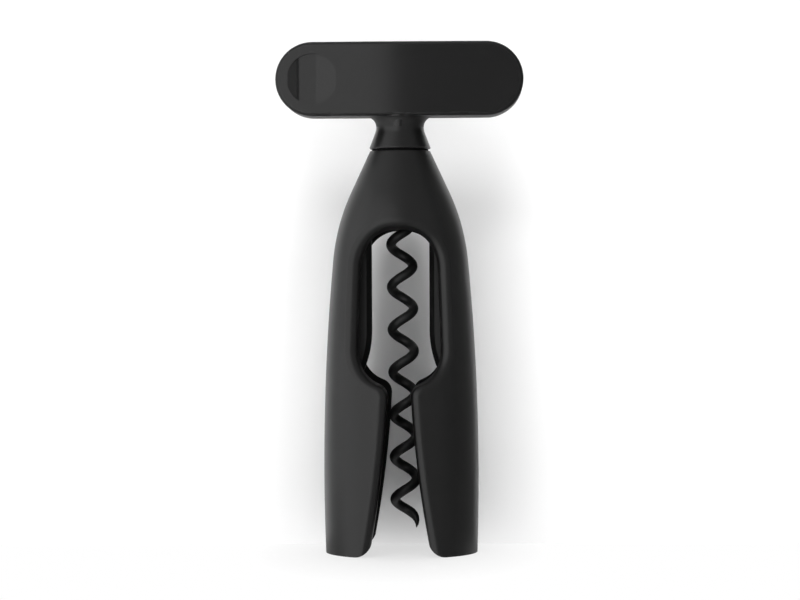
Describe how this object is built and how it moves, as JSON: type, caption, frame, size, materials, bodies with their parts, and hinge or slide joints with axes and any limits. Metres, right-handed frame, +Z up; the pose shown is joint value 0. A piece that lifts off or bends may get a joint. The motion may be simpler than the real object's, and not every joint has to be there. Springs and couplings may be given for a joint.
{
  "type": "corkscrew",
  "caption": "Self-pulling corkscrew with a T-shaped handle turning a coated spiral worm in a bell-shaped frame whose legs and windows straddle the bottle neck.",
  "frame": {"origin": "on the worm's axis, in the plane the two legs stand on", "axes": "+Z up along the worm's axis to the handle, X along the handle, -Y towards the front with the thumb dish"},
  "size_m": [0.0814, 0.0486, 0.1677],
  "materials": {
    "bell_plastic": "satin moulded dark grey",
    "stem_plastic": "satin moulded dark grey",
    "grip_plastic": "satin moulded dark grey",
    "bush_plastic": "black bearing plastic",
    "washer_plastic": "black bearing plastic",
    "worm_coating": "black non-stick coating on steel wire",
    "steel": "plain steel"
  },
  "bodies": {
    "bell": {"bell_body": "bell_plastic", "bearing_bush": "bush_plastic", "thrust_washer": "washer_plastic"},
    "handle": {"handle_stem": "stem_plastic", "handle_front_shell": "grip_plastic", "handle_rear_shell": "grip_plastic", "handle_dowels": "steel", "worm": "worm_coating", "retaining_washer": "steel", "retaining_ring": "steel"}
  },
  "joints": [
    {"name": "handle_spin", "type": "hinge", "parent": "bell", "child": "handle", "pos_m": [0, 0, 0.1321], "axis": [0, 0, 1], "continuous": true}
  ]
}
